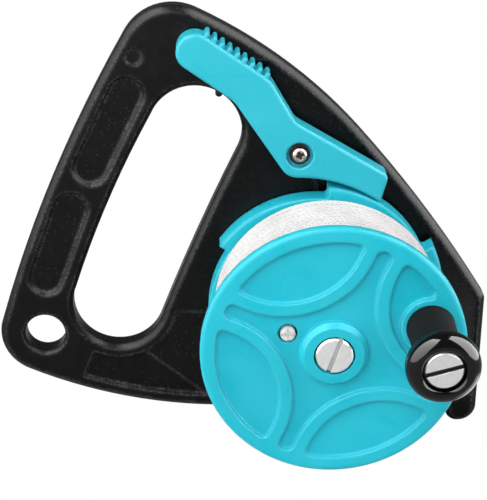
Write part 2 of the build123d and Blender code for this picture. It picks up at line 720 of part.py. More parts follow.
# The lever's sleeve, washer, cross-head screw and spring
lever_sleeve = tube("lever_sleeve", pivot, sleeve_r, lever_screw_r + axle_fit_w,
                    pivot_boss_h, lever_washer_h)
lever_washer = tube("lever_washer", pivot, lever_washer_r, lever_screw_r + axle_fit_w, lever_washer_h,
                    lever_washer_h + lever_washer_t)
lever_head_h0 = lever_washer_h + lever_washer_t
with BuildPart() as lever_screw:
    with BuildSketch(front(lever_head_h0)):
        with Locations(pivot):
            Circle(lever_head_r)
    extrude(amount=lever_head_h)
    chamfer(lever_screw.faces().sort_by(Axis.Y)[0].edges(), length=lever_head_h / 2)
    with BuildSketch(front(lever_head_h0 + lever_head_h)):
        with Locations(pivot):
            Rectangle(lever_head_r, lever_head_r / 4)
            Rectangle(lever_head_r / 4, lever_head_r)
    extrude(amount=-lever_head_h / 2, mode=Mode.SUBTRACT)
    with BuildSketch(front(pivot_boss_h - lever_screw_bite_len)):
        with Locations(pivot):
            Circle(lever_screw_r)
    extrude(amount=lever_head_h0 - pivot_boss_h + lever_screw_bite_len)
lever_screw.part.label = "lever_screw"
with BuildPart() as lever_spring:
    with BuildLine() as spring_path:
        knots = coil(pivot_x, pivot_z, spring_h, spring_r, spring_pitch_len, spring_turns, spring_start, 1)
    with BuildSketch(Plane(knots[0][0], x_dir=(cos(radians(spring_start)), 0, sin(radians(spring_start))),
                           z_dir=knots[0][1])):
        RegularPolygon(spring_wire_d / 2, line_sides)
    sweep()
lever_spring.part.label = "lever_spring"
print("lever spring: least gap",
      round(least_gap(spring_path.wires()[0], spring_turns, spring_wire_d), 3), "mm")

os.makedirs("parts", exist_ok=True)
for piece in (frame, spool_front, spool_rear, line_core, line_turns, line_knot, axle_screw, axle_bush,
              thrust_washer, front_washer, axle_nut, knob, knob_screw, knob_sleeve, knob_insert, thumb_lever,
              lever_sleeve, lever_washer, lever_screw, lever_spring):
    export_step(piece.part, "parts/" + piece.part.label + ".step")
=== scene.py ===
# %% [markdown]
# # A dive reel in soft studio light
# The rigid pieces of this reel come from its CAD model, which this script loads as a fixed frame.
# What is made here is what a moulding or a turning lathe doesn't give by itself: the wound line, the
# knot at its end, a cross-head screw, a polished knob, and a finish for every surface.
# Blender works in metres, so every size below is typed in millimetres and multiplied by MM.

# %% Load the frame
import bmesh
import bpy
from math import atan2, cos, hypot, pi, radians, sin, tau
from mathutils import Matrix, Vector, noise


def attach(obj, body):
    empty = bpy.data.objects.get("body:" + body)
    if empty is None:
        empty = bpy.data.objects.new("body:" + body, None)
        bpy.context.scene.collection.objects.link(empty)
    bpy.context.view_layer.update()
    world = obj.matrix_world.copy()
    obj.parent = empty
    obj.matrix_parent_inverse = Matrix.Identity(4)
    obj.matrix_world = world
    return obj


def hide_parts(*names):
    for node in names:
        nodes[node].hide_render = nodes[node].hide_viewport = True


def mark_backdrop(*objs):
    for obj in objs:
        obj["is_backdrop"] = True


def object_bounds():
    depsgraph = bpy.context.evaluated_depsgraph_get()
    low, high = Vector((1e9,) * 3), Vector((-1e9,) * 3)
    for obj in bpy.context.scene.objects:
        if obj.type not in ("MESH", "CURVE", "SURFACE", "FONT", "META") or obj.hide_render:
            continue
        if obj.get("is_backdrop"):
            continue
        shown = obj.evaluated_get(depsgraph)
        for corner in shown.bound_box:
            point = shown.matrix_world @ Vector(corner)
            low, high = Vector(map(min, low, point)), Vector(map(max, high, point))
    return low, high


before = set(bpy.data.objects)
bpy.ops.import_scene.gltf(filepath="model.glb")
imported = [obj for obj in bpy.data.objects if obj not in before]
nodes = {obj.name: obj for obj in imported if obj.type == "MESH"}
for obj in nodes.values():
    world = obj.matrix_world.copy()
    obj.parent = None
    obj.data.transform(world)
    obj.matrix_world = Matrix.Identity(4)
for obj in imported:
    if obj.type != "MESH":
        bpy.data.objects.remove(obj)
cad_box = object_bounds()
MM = 0.001

# %% [markdown]
# ## Camera
# The photograph was taken from the front, a little to the left and about 22 degrees above, with a
# long lens. The camera could be aimed with a Track To constraint, but three measured axes give its
# turn exactly, so they fill the columns of its matrix.

# %% Camera
camera_at = Vector((-37.88, -482.55, 209.60)) * MM
camera_right = Vector((0.99975, -0.02234, 0.0))
camera_up = Vector((0.00844, 0.37779, 0.92586))
camera_back = Vector((-0.02068, -0.92563, 0.37788))

camera = bpy.data.objects.new("studio_camera", bpy.data.cameras.new("studio_camera"))
bpy.context.scene.collection.objects.link(camera)
camera.matrix_world = Matrix.Translation(camera_at) @ Matrix(
    (camera_right, camera_up, camera_back)).transposed().to_4x4()
camera.data.sensor_fit = "VERTICAL"
camera.data.sensor_height = 36.0
camera.data.lens = 109.5
bpy.context.scene.camera = camera
print("camera at", [round(v / MM) for v in camera_at], "mm, lens", camera.data.lens, "mm")

# %% [markdown]
# ## Colour handling
# Blender's default view transform films the scene: it rolls bright colours off towards white, which
# turns a saturated turquoise pale. A catalogue picture keeps its colours, so the Standard transform
# is used, and the lamps are set so that nothing important is brighter than white paper.

# %% Colour handling
bpy.context.scene.view_settings.view_transform = "Standard"
print("view transform:", bpy.context.scene.view_settings.view_transform)

# %% [markdown]
# ## Small helpers
# Each new piece is a mesh filled by a function, on an object at the origin. Node trees are built by
# a few helpers, so that a material below reads as a list of what feeds what.


# %% Helpers for meshes and nodes
def plain_object(name, mesh_maker, smooth_below=None):
    """A new object whose mesh is filled by mesh_maker(bm), smooth where faces meet at small angles."""
    bm = bmesh.new()
    mesh_maker(bm)
    mesh = bpy.data.meshes.new(name)
    bm.to_mesh(mesh)
    bm.free()
    if smooth_below:
        mesh.shade_smooth()
        mesh.set_sharp_from_angle(angle=radians(smooth_below))
    made = bpy.data.objects.new(name, mesh)
    bpy.context.scene.collection.objects.link(made)
    return made


def new_group(name, inputs, outputs):
    """An empty shader node group; returns the group, its input node and its output node."""
    group = bpy.data.node_groups.new(name, "ShaderNodeTree")
    for socket_name, kind, value in inputs:
        socket = group.interface.new_socket(name=socket_name, in_out="INPUT", socket_type=kind)
        if value is not None:
            socket.default_value = value
    for socket_name, kind in outputs:
        group.interface.new_socket(name=socket_name, in_out="OUTPUT", socket_type=kind)
    return group, group.nodes.new("NodeGroupInput"), group.nodes.new("NodeGroupOutput")


def add_node(tree, kind, inputs=None, **values):
    """A node of a kind with its properties set, and its inputs set or linked by name."""
    made = tree.nodes.new(kind)
    for key, value in values.items():
        setattr(made, key, value)
    for socket, given in (inputs or {}).items():
        if isinstance(given, bpy.types.NodeSocket):
            tree.links.new(given, made.inputs[socket])
        else:
            made.inputs[socket].default_value = given
    return made


def math_node(tree, operation, a, b=None):
    """The result of a math node fed by sockets or plain numbers."""
    made = tree.nodes.new("ShaderNodeMath")
    made.operation = operation
    for socket, given in zip(made.inputs, (a, b)):
        if isinstance(given, (int, float)):
            socket.default_value = given
        elif given is not None:
            tree.links.new(given, socket)
    return made.outputs[0]


def ramp_node(tree, value, low, high, to_low=0.0, to_high=1.0):
    """A value stretched from low..high to to_low..to_high, and held at those ends."""
    made = add_node(tree, "ShaderNodeMapRange", {"Value": value, "From Min": low, "From Max": high,
                                                 "To Min": to_low, "To Max": to_high})
    return made.outputs["Result"]


def colour_mix(tree, factor, a, b):
    """A colour between a and b by a factor socket. Either may be a socket."""
    made = add_node(tree, "ShaderNodeMix", data_type="RGBA")
    tree.links.new(factor, made.inputs["Factor"])
    for socket, given in ((made.inputs[6], a), (made.inputs[7], b)):
        if isinstance(given, bpy.types.NodeSocket):
            tree.links.new(given, socket)
        else:
            socket.default_value = given
    return made.outputs[2]


def find_node(tree, kind, group=None):
    """The first node of a kind in a tree, or the one that holds a given group."""
    return next(n for n in tree.nodes if n.type == kind and (group is None or n.node_tree == group))


print("helpers ready")

# %% [markdown]
# ## Studio
# A product shot on white has a bright floor, a bright surround and large soft lamps. The camera sees
# the floor and the surround as plain white paper. What they throw onto the reel is set apart from
# that with Light Path, because a surround as bright as paper would turn the black frame grey.
# Point lamps would draw small hard highlights, so the lamps are rectangles. Four of them only light
# the surfaces and are never mirrored: a fill in front, and others overhead and at the sides. Two
# tall white walls, left and right, only show as highlights, where the polished knob of the
# photograph mirrors them, with the dark of the room between them. The walls are brighter at the
# top, so the highlights fade downwards. In this way the highlights are set without changing how
# light the colours are. The paper just right of the knob is mirrored brighter, which draws the thin
# pale line along the knob's lower right edge.

# %% Floor and surround
floor_low = cad_box[0][2] - 0.1 * MM
floor_size = 6000 * MM


def floor_mesh(bm):
    bmesh.ops.create_grid(bm, x_segments=1, y_segments=1, size=floor_size / 2)
    bmesh.ops.translate(bm, verts=bm.verts, vec=(0, 0, floor_low))


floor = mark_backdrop(plain_object("studio_floor", floor_mesh)) or bpy.data.objects["studio_floor"]
paper = bpy.data.materials.new("white_paper")
paper.use_nodes = True
paper_tree = paper.node_tree
paper_tree.nodes.clear()
paper_seen = add_node(paper_tree, "ShaderNodeEmission", {"Color": (1, 1, 1, 1), "Strength": 1.0})
paper_lit = add_node(paper_tree, "ShaderNodeBsdfDiffuse", {"Color": (0.62, 0.62, 0.62, 1)})
paper_dim = add_node(paper_tree, "ShaderNodeBsdfDiffuse", {"Color": (0.46, 0.46, 0.46, 1)})
paper_bright = add_node(paper_tree, "ShaderNodeEmission", {"Color": (1, 1, 1, 1), "Strength": 4.0})
paper_spot = add_node(paper_tree, "ShaderNodeSeparateXYZ", {
    0: add_node(paper_tree, "ShaderNodeTexCoord").outputs["Object"]})
# The sides of the bright patch, in millimetres: its axis, where it begins and where it is full
patch_sides = (("X", 50, 75), ("X", 140, 115), ("Y", -120, -95), ("Y", -20, -45))
paper_patch = 1.0
for axis_name, begins, full in patch_sides:
    side = ramp_node(paper_tree, paper_spot.outputs[axis_name], begins * MM, full * MM)
    paper_patch = math_node(paper_tree, "MULTIPLY", paper_patch, side)
paper_gloss = add_node(paper_tree, "ShaderNodeMixShader", {
    0: paper_patch, 1: paper_dim.outputs[0], 2: paper_bright.outputs[0]})
paper_path = add_node(paper_tree, "ShaderNodeLightPath")
paper_rest = add_node(paper_tree, "ShaderNodeMixShader", {
    0: paper_path.outputs["Is Glossy Ray"], 1: paper_lit.outputs[0], 2: paper_gloss.outputs[0]})
paper_pick = add_node(paper_tree, "ShaderNodeMixShader", {
    0: paper_path.outputs["Is Camera Ray"], 1: paper_rest.outputs[0], 2: paper_seen.outputs[0]})
add_node(paper_tree, "ShaderNodeOutputMaterial", {"Surface": paper_pick.outputs[0]})
floor.data.materials.append(paper)

world = bpy.data.worlds.new("studio_surround")
world.use_nodes = True
world_tree = world.node_tree
world_tree.nodes.clear()
surround_seen = add_node(world_tree, "ShaderNodeBackground", {"Color": (1, 1, 1, 1), "Strength": 1.0})
surround_lit = add_node(world_tree, "ShaderNodeBackground", {"Color": (1, 1, 1, 1), "Strength": 0.17})
surround_pick = add_node(world_tree, "ShaderNodeMixShader", {
    0: add_node(world_tree, "ShaderNodeLightPath").outputs["Is Camera Ray"],
    1: surround_lit.outputs[0], 2: surround_seen.outputs[0]})
add_node(world_tree, "ShaderNodeOutputWorld", {"Surface": surround_pick.outputs[0]})
bpy.context.scene.world = world
print("floor at", round(floor_low / MM, 2), "mm")


# %% Lamps
def soft_lamp(name, at, aim, size, power, lights=True, mirrored=True, fades=None):
    """A rectangular lamp at a point, turned to face another point. Millimetres and watts.

    Fades are its strengths at its foot and at its top, where they differ."""
    lamp = bpy.data.lights.new(name, "AREA")
    lamp.shape = "RECTANGLE"
    lamp.size, lamp.size_y = size[0] * MM, size[1] * MM
    lamp.energy = power
    if fades:
        lamp.use_nodes = True
        glow = find_node(lamp.node_tree, "EMISSION")
        face = add_node(lamp.node_tree, "ShaderNodeNewGeometry").outputs["Parametric"]
        upward = add_node(lamp.node_tree, "ShaderNodeSeparateXYZ", {0: face}).outputs["Y"]
        strength = ramp_node(lamp.node_tree, upward, 0.0, 1.0, *fades)
        lamp.node_tree.links.new(strength, glow.inputs["Strength"])
    stand = bpy.data.objects.new(name, lamp)
    bpy.context.scene.collection.objects.link(stand)
    way = (Vector(aim) - Vector(at)).normalized()
    turn = way.to_track_quat("-Z", "Y").to_matrix().to_4x4()
    stand.matrix_world = Matrix.Translation(Vector(at) * MM) @ turn
    stand.visible_camera = False
    stand.visible_diffuse = lights
    stand.visible_glossy = mirrored
    return stand


lamps = [
    soft_lamp("lamp_fill", (-260, -640, 540), (-20, -20, 10), (600, 500), 4.9, mirrored=False),
    soft_lamp("lamp_overhead", (60, -160, 800), (0, -20, 0), (900, 420), 2.8, mirrored=False),
    soft_lamp("lamp_left", (-760, -160, 200), (-20, -20, 10), (420, 520), 4.0, mirrored=False),
    soft_lamp("lamp_side", (700, -300, 340), (0, -30, 10), (420, 420), 2.6, mirrored=False),
    soft_lamp("wall_left", (-464, -420, 888), (30, -80, 888), (1060, 1924), 60.0, lights=False,
              fades=(0.5, 2.1)),
    soft_lamp("wall_right", (542, -170, 768), (30, -80, 768), (937, 1684), 46.0, lights=False,
              fades=(1.1, 1.9)),
]
print("lamps:", [lamp.name for lamp in lamps])

# %% [markdown]
# ## Shared effects
# Moulded plastic is never quite even: the mould's surface leaves a fine grain, and handling leaves
# faint smears where the gloss changes. No edge is ever perfectly sharp either: it is a little round,
# and painted paler, partly as rubbing and partly as a painted highlight. The painted highlight can be
# kept off walls that face sideways, which leaves a dark line at the outline. Each effect serves
# several materials, so each is a node group with named inputs. A group gives only values and
# normals, and the Principled shader stays outside.

# %% Effect: moulded grain, smears and specks
grain_group, grain_in, grain_out = new_group(
    "moulded_surface",
    [("Coordinates", "NodeSocketVector", None), ("Grain Scale", "NodeSocketFloat", 2500.0),
     ("Smear Scale", "NodeSocketFloat", 60.0)],
    [("Height", "NodeSocketFloat"), ("Smear", "NodeSocketFloat"), ("Speck", "NodeSocketFloat")])
place, grain_scale = grain_in.outputs["Coordinates"], grain_in.outputs["Grain Scale"]
fine = add_node(grain_group, "ShaderNodeTexNoise",
                {"Vector": place, "Scale": grain_scale, "Detail": 3.0, "Roughness": 0.6})
smear = add_node(grain_group, "ShaderNodeTexNoise", {
    "Vector": place, "Scale": grain_in.outputs["Smear Scale"], "Detail": 4.0, "Roughness": 0.65,
    "Distortion": 0.6})
speck = add_node(grain_group, "ShaderNodeTexVoronoi",
                 {"Vector": place, "Scale": math_node(grain_group, "MULTIPLY", grain_scale, 0.45)})
smeared = ramp_node(grain_group, smear.outputs["Fac"], 0.35, 0.68)
specked = ramp_node(grain_group, speck.outputs["Distance"], 0.20, 0.06)
for value, output_name in ((fine.outputs["Fac"], "Height"), (smeared, "Smear"), (specked, "Speck")):
    grain_group.links.new(value, grain_out.inputs[output_name])
print("effect:", grain_group.name, [s.name for s in grain_group.interface.items_tree])

# %% Effect: soft edges, painted paler as rubbing and as a highlight
edge_group, edge_in, edge_out = new_group(
    "soft_edges", [("Radius", "NodeSocketFloat", 0.0004), ("Side Paling", "NodeSocketFloat", 1.0)],
    [("Normal", "NodeSocketVector"), ("Rub And Highlight", "NodeSocketFloat")])
rounding = add_node(edge_group, "ShaderNodeBevel", {"Radius": edge_in.outputs["Radius"]}, samples=6)
facing = add_node(edge_group, "ShaderNodeNewGeometry")
agree = add_node(edge_group, "ShaderNodeVectorMath",
                 {0: rounding.outputs["Normal"], 1: facing.outputs["Normal"]}, operation="DOT_PRODUCT")
# The rounding is painted paler, partly as rubbing and partly as a painted highlight. On walls that face
# sideways only the Side Paling share of it is kept, so the painted highlight ends in a dark line.
all_paling = ramp_node(edge_group, agree.outputs["Value"], 0.995, 0.90)
round_normal = add_node(edge_group, "ShaderNodeSeparateXYZ", {0: rounding.outputs["Normal"]})
faces_front = math_node(edge_group, "ABSOLUTE", round_normal.outputs["Y"])
front_highlight_share = ramp_node(edge_group, faces_front, 0.35, 0.75, edge_in.outputs["Side Paling"], 1.0)
edge_group.links.new(rounding.outputs["Normal"], edge_out.inputs["Normal"])
edge_group.links.new(math_node(edge_group, "MULTIPLY", all_paling, front_highlight_share), edge_out.inputs["Rub And Highlight"])
print("effect:", edge_group.name, [s.name for s in edge_group.interface.items_tree])

# %% [markdown]
# ## Moulded plastics
# The frame is black plastic with a satin face, the knob's head is black and polished above a dull
# shank, and the spool and lever are turquoise. One function builds all of them from the shared
# effects, because they differ only in colour, gloss, grain, how pale and how patchy their edges are
# painted, partly as rubbing and partly as a painted highlight, and how far smears change the gloss.


# %% Plastics
def moulded_plastic(name, colour, edge_and_smear_colour, rough, rough_smeared, grain_um, grain_scale, edge_mm,
                    specular=0.5, smear_scale=60.0, smear_tint=0.35, patchy_paling=0.0, side_paling=1.0):
    """Plastic with a mould's grain and soft, paler edges. The grain's depth is in micrometres.

    The paler edges are partly rubbing and partly a painted highlight. Patchy paling, from 0 to 1, is
    how much of it stays on the grain's high spots only, and side paling is how much of it is kept on
    walls that face sideways."""
    material = bpy.data.materials.new(name)
    material.use_nodes = True
    tree = material.node_tree
    shader = tree.nodes["Principled BSDF"]
    place = add_node(tree, "ShaderNodeTexCoord").outputs["Object"]
    surface = add_node(tree, "ShaderNodeGroup", node_tree=grain_group)
    tree.links.new(place, surface.inputs["Coordinates"])
    surface.inputs["Grain Scale"].default_value = grain_scale
    surface.inputs["Smear Scale"].default_value = smear_scale
    edges = add_node(tree, "ShaderNodeGroup", node_tree=edge_group)
    edges.inputs["Radius"].default_value = edge_mm * MM
    edges.inputs["Side Paling"].default_value = side_paling
    smears = math_node(tree, "MULTIPLY", surface.outputs["Smear"], smear_tint)
    high_spots = ramp_node(tree, surface.outputs["Height"], 0.44, 0.58, 1.0 - patchy_paling, 1.0)
    patches = ramp_node(tree, surface.outputs["Smear"], 0.1, 0.7, 1.0 - 0.8 * patchy_paling, 1.0)
    uneven_paling = math_node(tree, "MULTIPLY", high_spots, patches)
    # Painted paler edge, partly rubbing and partly a painted highlight, made patchy on the grain's high spots
    # and in smear patches.
    edge_and_flank_tone = math_node(tree, "MULTIPLY", edges.outputs["Rub And Highlight"], uneven_paling)
    edge_and_smear_mask = math_node(tree, "MAXIMUM", smears, edge_and_flank_tone)
    tint = colour_mix(tree, edge_and_smear_mask, colour, edge_and_smear_colour)
    tree.links.new(tint, shader.inputs["Base Color"])
    gloss = ramp_node(tree, surface.outputs["Smear"], 0.0, 1.0, rough, rough_smeared)
    tree.links.new(gloss, shader.inputs["Roughness"])
    bump = add_node(tree, "ShaderNodeBump", {"Strength": 1.0, "Distance": grain_um * 1e-6,
                                             "Height": surface.outputs["Height"],
                                             "Normal": edges.outputs["Normal"]})
    tree.links.new(bump.outputs["Normal"], shader.inputs["Normal"])
    shader.inputs["Specular IOR Level"].default_value = specular
    return material


# The frame's edges are painted much paler than its face, and only where they face the front: mostly a painted
# highlight with some rubbing, patchy on the grain.
frame_plastic = moulded_plastic("frame_black", (0.0028, 0.0027, 0.0028, 1), (0.10, 0.10, 0.101, 1),
                                0.24, 0.30, 40.0, 1300.0, 2.0, specular=0.125, smear_scale=150.0,
                                smear_tint=0.01, patchy_paling=0.85, side_paling=0.0)
knob_plastic = moulded_plastic("knob_black", (0.0015, 0.0015, 0.0017, 1), (0.003, 0.003, 0.0033, 1),
                               0.07, 0.12, 1.6, 1500.0, 0.2, specular=0.30)
shank_plastic = moulded_plastic("knob_shank_black", (0.008, 0.0078, 0.0078, 1), (0.012, 0.012, 0.012, 1),
                                0.50, 0.60, 6.0, 1500.0, 0.3, specular=0.02)
# The paler turquoise of the spool's and lever's edges is partly rubbing and partly a painted highlight.
spool_plastic = moulded_plastic("spool_blue", (0.012, 0.47, 0.59, 1), (0.050, 0.56, 0.68, 1),
                                0.26, 0.34, 2.5, 2400.0, 1.3, specular=0.15)
lever_plastic = moulded_plastic("lever_blue", (0.026, 0.45, 0.56, 1), (0.05, 0.52, 0.63, 1),
                                0.26, 0.34, 2.5, 2400.0, 1.3, specular=0.15)
washer_plastic = moulded_plastic("washer_white", (0.72, 0.72, 0.70, 1), (0.60, 0.60, 0.58, 1),
                                 0.45, 0.55, 4.0, 2400.0, 0.15)
plastics = (frame_plastic, knob_plastic, shank_plastic, spool_plastic, lever_plastic, washer_plastic)
print("plastics:", [m.name for m in plastics])

# %% [markdown]
# The spool's edges aren't all alike: the hub's is crisp, those of the ribs are soft, and the rim's
# is rounder still. They lie further and further from the axle, so that distance sets their radius.

# %% Edges of the spool
hub_edge, rib_edge, rim_extra = 0.35 * MM, 1.3 * MM, 1.0 * MM
tree = spool_plastic.node_tree
spot = find_node(tree, "TEX_COORD").outputs["Object"]
off_axle = add_node(tree, "ShaderNodeVectorMath", {0: spot, 1: (1, 0, 1)}, operation="MULTIPLY")
from_axle = add_node(tree, "ShaderNodeVectorMath", {0: off_axle.outputs[0]}, operation="LENGTH")
round_ribs = ramp_node(tree, from_axle.outputs["Value"], 13 * MM, 16 * MM, hub_edge, rib_edge)
round_rim = ramp_node(tree, from_axle.outputs["Value"], 37.5 * MM, 40 * MM, 0.0, rim_extra)
# The same radius sets the width of the paler band along each edge, part rubbing and part painted highlight,
# so the rim's pale band is the widest.
tree.links.new(math_node(tree, "ADD", round_ribs, round_rim),
               find_node(tree, "GROUP", edge_group).inputs["Radius"])
print("spool edges:", [round(r / MM, 2) for r in (hub_edge, rib_edge, rib_edge + rim_extra)], "mm")

# %% [markdown]
# The hollows of the frame were left as the mould's tool cut them, with a coarser face that catches
# dust. Their floors lie behind the frame's face, so the depth along Y tells them apart, and pale
# specks are mixed into the colour there only.

# %% Dusty hollows of the frame
frame_face_y = -8.6 * MM
tree = frame_plastic.node_tree
frame_tint = tree.nodes["Principled BSDF"].inputs["Base Color"]
spot = find_node(tree, "TEX_COORD").outputs["Object"]
depth = add_node(tree, "ShaderNodeSeparateXYZ", {0: spot}).outputs["Y"]
in_hollow = ramp_node(tree, depth, frame_face_y + 0.3 * MM, frame_face_y + 0.7 * MM)
specks = find_node(tree, "GROUP", grain_group).outputs["Speck"]
dust = math_node(tree, "MULTIPLY", math_node(tree, "MULTIPLY", in_hollow, specks), 0.6)
dusted = colour_mix(tree, dust, frame_tint.links[0].from_socket, (0.05, 0.05, 0.052, 1))
tree.links.new(dusted, frame_tint)
print("frame colour fed by:", frame_tint.links[0].from_node.type)

# %% [markdown]
# ## Turned metals
# A screw head that comes off a lathe shows fine rings about its axis. A Wave texture in rings
# follows a point, so each screw gets its own copy of the material with its axis typed in. The colour
# darkens with depth below the head's face: painted shade in a screw's slot, with a reddish-brown
# grime in the lever screw's recess as well.


# %% Metals
ring_depth, metal_edge = 0.6e-6, 0.12 * MM


def turned_metal(name, colour, rough, axis_at=None, face_y=None, slot_shade_and_grime=0.0,
                 slot_shade_and_grime_colour=(0.02, 0.019, 0.018, 1)):
    """Metal with a fine grain, turning rings about an axis at axis_at, and painted shade and grime behind
    face_y.
    """
    material = bpy.data.materials.new(name)
    material.use_nodes = True
    tree = material.node_tree
    shader = tree.nodes["Principled BSDF"]
    shader.inputs["Metallic"].default_value = 1.0
    centre = add_node(tree, "ShaderNodeMapping",
                      {"Vector": add_node(tree, "ShaderNodeTexCoord").outputs["Object"]})
    if axis_at:
        centre.inputs["Location"].default_value = (-axis_at[0] * MM, 0, -axis_at[1] * MM)
    rings = add_node(tree, "ShaderNodeTexWave", {
        "Vector": centre.outputs["Vector"], "Scale": 900.0, "Distortion": 1.2, "Detail": 2.0,
        "Detail Scale": 1.5}, wave_type="RINGS", rings_direction="Y")
    surface = add_node(tree, "ShaderNodeGroup", node_tree=grain_group)
    tree.links.new(centre.outputs["Vector"], surface.inputs["Coordinates"])
    surface.inputs["Grain Scale"].default_value = 1800.0
    surface.inputs["Smear Scale"].default_value = 220.0
    edges = add_node(tree, "ShaderNodeGroup", node_tree=edge_group)
    edges.inputs["Radius"].default_value = metal_edge
    dull = tuple(0.82 * v for v in colour[:3]) + (1,)
    tint = colour_mix(tree, surface.outputs["Smear"], colour, dull)
    if slot_shade_and_grime:
        # Painted shade: darker with depth below the head's face, into the slot.
        depth = add_node(tree, "ShaderNodeSeparateXYZ", {0: centre.outputs["Vector"]}).outputs["Y"]
        sunk = ramp_node(tree, depth, (face_y + 0.15) * MM, (face_y + 0.9) * MM, 0.0, slot_shade_and_grime)
        tint = colour_mix(tree, sunk, tint, slot_shade_and_grime_colour)
    tree.links.new(tint, shader.inputs["Base Color"])
    tree.links.new(ramp_node(tree, surface.outputs["Smear"], 0.0, 1.0, rough, rough + 0.10),
                   shader.inputs["Roughness"])
    bump = add_node(tree, "ShaderNodeBump", {
        "Strength": 1.0, "Distance": ring_depth, "Normal": edges.outputs["Normal"],
        "Height": rings.outputs["Fac"] if axis_at else surface.outputs["Height"]})
    tree.links.new(bump.outputs["Normal"], shader.inputs["Normal"])
    return material


axle_at, knob_at, pivot_at = (0.0, 0.0), (29.9, 8.7), (-9.3, 52.2)
steel = (0.97, 0.965, 0.96, 1)
axle_steel = turned_metal("axle_screw_steel", steel, 0.30, axle_at, face_y=-57.5, slot_shade_and_grime=0.45)
knob_steel = turned_metal("knob_screw_steel", (0.84, 0.84, 0.84, 1), 0.30, knob_at, face_y=-85.6, slot_shade_and_grime=0.97)
lever_steel = turned_metal("lever_screw_steel", (0.46, 0.44, 0.42, 1), 0.24, pivot_at, face_y=-17.1,
                           slot_shade_and_grime=0.95, slot_shade_and_grime_colour=(0.06, 0.022, 0.018, 1))
plain_steel = turned_metal("plain_steel", (0.56, 0.55, 0.54, 1), 0.30)
brass = turned_metal("threaded_brass", (0.78, 0.56, 0.26, 1), 0.30, knob_at)
print("metals:", [m.name for m in (axle_steel, knob_steel, lever_steel, plain_steel, brass)])

# %% Finish the CAD nodes
finish_of = {
    "frame": frame_plastic, "spool_front": spool_plastic, "spool_rear": spool_plastic,
    "thumb_lever": lever_plastic, "knob": knob_plastic, "axle_screw": axle_steel, "knob_screw": knob_steel,
    "lever_screw": lever_steel, "lever_washer": lever_steel, "axle_nut": plain_steel, "axle_bush": axle_steel,
    "lever_sleeve": lever_steel, "lever_spring": plain_steel, "knob_sleeve": knob_steel, "knob_insert": brass,
    "thrust_washer": washer_plastic, "front_washer": washer_plastic}
for node_name, material in finish_of.items():
    slots = nodes[node_name].material_slots
    for slot in slots:
        slot.material = material
    if not slots:
        nodes[node_name].data.materials.append(material)
print("finished nodes:", len(finish_of))

# %% [markdown]
# ## The wound line
# Nineteen turns of braided white line lie side by side on the drum, over more line below.
# Each turn could be a ring, but real line is one length, so a small circle is spun once round the
# axis and moved along it at each step. That makes one turn of a coil. Copies of it, each a pitch
# further on, meet end to end and are merged, which is far quicker than one very long spin.
# Two values stay with each point: its place in the line's section and how far along it lies. They
# let the turns stray a little, as hand-wound line does, and lay out the map for the braid. The pile
# is also a little higher on one side of the drum, and both ends are tucked under their neighbours.

# %% Wind a layer of line
line_d = 1.7 * MM
wind_r = 36.6 * MM
drum_back, drum_front, barrel_r = -17.1 * MM, -51.5 * MM, 20.0 * MM
section_sides = 8
steps_per_turn = 96
sway_w, lift_h, heap_h, tuck_h = 0.34 * line_d, 0.10 * line_d, 0.25 * line_d, 0.9 * line_d
heap_angle = radians(50)


def wind_layer(bm, radius, start_y, pitch, turns, way, stray, tuck):
    """Wind turns about the axis, from start_y forward, and lay out their braid map.

    Stray picks how the turns wander, and tuck is the share of a turn that sinks at either end."""
    section_x = bm.verts.layers.float.new("section_x")
    section_y = bm.verts.layers.float.new("section_y")
    ring = bmesh.ops.create_circle(bm, cap_ends=False, segments=section_sides, radius=line_d / 2)["verts"]
    for v in ring:
        v[section_x], v[section_y] = v.co.x, v.co.y
    bmesh.ops.translate(bm, verts=ring, vec=(radius, start_y, 0))
    bmesh.ops.spin(bm, geom=ring + bm.edges[:], cent=(0, 0, 0), axis=(0, 1, 0),
                   dvec=(0, -pitch / steps_per_turn, 0), angle=way * tau, steps=steps_per_turn,
                   use_duplicate=False)
    one_turn = bm.verts[:] + bm.edges[:] + bm.faces[:]
    for k in range(1, turns):
        copied = bmesh.ops.duplicate(bm, geom=one_turn)["geom"]
        bmesh.ops.translate(bm, verts=[g for g in copied if isinstance(g, bmesh.types.BMVert)],
                            vec=(0, -pitch * k, 0))
    bmesh.ops.remove_doubles(bm, verts=bm.verts, dist=0.001 * MM)
    ends = [e for e in bm.edges if e.is_boundary]
    bmesh.ops.holes_fill(bm, edges=ends, sides=section_sides)
    braid_map = bm.loops.layers.uv.new("braid")
    wound = {v: (start_y - (v.co.y - v[section_y])) / pitch for v in bm.verts}
    turned = {v: (atan2(v[section_y], v[section_x]) % tau) / tau for v in bm.verts}
    for face in bm.faces:
        wraps = max(turned[v] for v in face.verts) - min(turned[v] for v in face.verts) > 0.5
        for loop in face.loops:
            round_it = turned[loop.vert] + (1.0 if wraps and turned[loop.vert] < 0.5 else 0.0)
            loop[braid_map].uv = (wound[loop.vert] * tau * radius / MM, round_it)
    for v in bm.verts:
        t = wound[v]
        out = Vector((v.co.x, 0, v.co.z)).normalized()
        sway = noise.noise(Vector((t * 1.7, stray[0], 0)))
        wobble = noise.noise(Vector((t * 7.0, stray[0], 5)))
        lift = noise.noise(Vector((t * 2.3, stray[1], 9)))
        heap = heap_h * cos(atan2(v.co.z, v.co.x) - heap_angle)
        sink = max(0.0, t - (turns - tuck)) / tuck + max(0.0, tuck - t) / tuck
        v.co.y += (sway + 0.35 * wobble) * sway_w
        v.co += out * (lift * lift_h + heap - sink * sink * tuck_h)
    bmesh.ops.recalc_face_normals(bm, faces=bm.faces)


# %% Outer layer
wind_turns = 19
wind_pitch = (abs(drum_front - drum_back) - line_d - 0.5 * MM) / wind_turns
wind_start = drum_back - 0.25 * MM - line_d / 2


